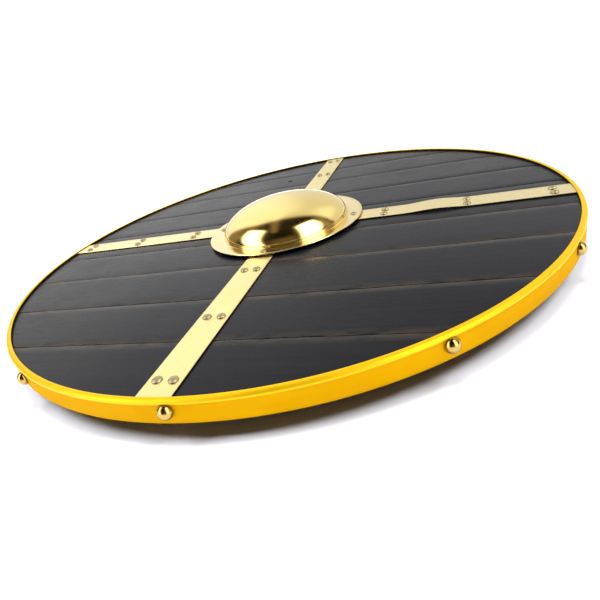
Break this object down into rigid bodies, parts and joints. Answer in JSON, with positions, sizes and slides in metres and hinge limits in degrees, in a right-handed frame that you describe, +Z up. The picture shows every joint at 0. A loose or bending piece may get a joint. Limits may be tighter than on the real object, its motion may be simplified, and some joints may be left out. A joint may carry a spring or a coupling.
{
  "type": "round plank shield",
  "caption": "Round wooden plank shield with a brass rim, crossed brass straps, a domed boss over the hand hole and a grip batten behind.",
  "frame": {"origin": "On the floor under the middle of the round rim, with the shield lying on its back", "axes": "+Z up out of the shield's face, X along the planks, Y across them"},
  "size_m": [0.6037, 0.6042, 0.0639],
  "materials": {
    "black_stained_wood": "Charcoal black stain, satin, with fine grain along the planks and bare tan wood showing in patches along the joints",
    "batten_wood": "Plain oiled brown wood, satin",
    "rim_brass": "Bright golden brass, smoothly polished",
    "strap_brass": "Pale brass, satin",
    "boss_brass": "Polished spun brass with faint turning marks",
    "pin_brass": "Dull brass pin heads"
  },
  "bodies": {
    "root": {"plank_1": "black_stained_wood", "plank_2": "black_stained_wood", "plank_3": "black_stained_wood", "plank_4": "black_stained_wood", "plank_5_left": "black_stained_wood", "plank_5_right": "black_stained_wood", "plank_6": "black_stained_wood", "plank_7": "black_stained_wood", "plank_8": "black_stained_wood", "plank_9": "black_stained_wood", "rim": "rim_brass", "strap_right": "strap_brass", "strap_far": "strap_brass", "strap_left": "strap_brass", "strap_near": "strap_brass", "boss": "boss_brass", "boss_pin_right": "pin_brass", "strap_pin_right_1": "pin_brass", "strap_pin_right_2": "pin_brass", "strap_pin_right_3": "pin_brass", "strap_pin_right_4": "pin_brass", "strap_pin_right_5": "pin_brass", "strap_pin_right_6": "pin_brass", "boss_pin_far": "pin_brass", "strap_pin_far_1": "pin_brass", "strap_pin_far_2": "pin_brass", "strap_pin_far_3": "pin_brass", "strap_pin_far_4": "pin_brass", "strap_pin_far_5": "pin_brass", "strap_pin_far_6": "pin_brass", "boss_pin_left": "pin_brass", "strap_pin_left_1": "pin_brass", "strap_pin_left_2": "pin_brass", "strap_pin_left_3": "pin_brass", "strap_pin_left_4": "pin_brass", "strap_pin_left_5": "pin_brass", "strap_pin_left_6": "pin_brass", "boss_pin_near": "pin_brass", "strap_pin_near_1": "pin_brass", "strap_pin_near_2": "pin_brass", "strap_pin_near_3": "pin_brass", "strap_pin_near_4": "pin_brass", "strap_pin_near_5": "pin_brass", "strap_pin_near_6": "pin_brass", "rim_nail_01": "rim_brass", "rim_nail_02": "rim_brass", "rim_nail_03": "rim_brass", "rim_nail_04": "rim_brass", "rim_nail_05": "rim_brass", "rim_nail_06": "rim_brass", "rim_nail_07": "rim_brass", "rim_nail_08": "rim_brass", "rim_nail_09": "rim_brass", "rim_nail_10": "rim_brass", "rim_nail_11": "rim_brass", "grip_batten": "batten_wood", "back_batten_left": "batten_wood", "back_batten_right": "batten_wood"}
  },
  "joints": []
}
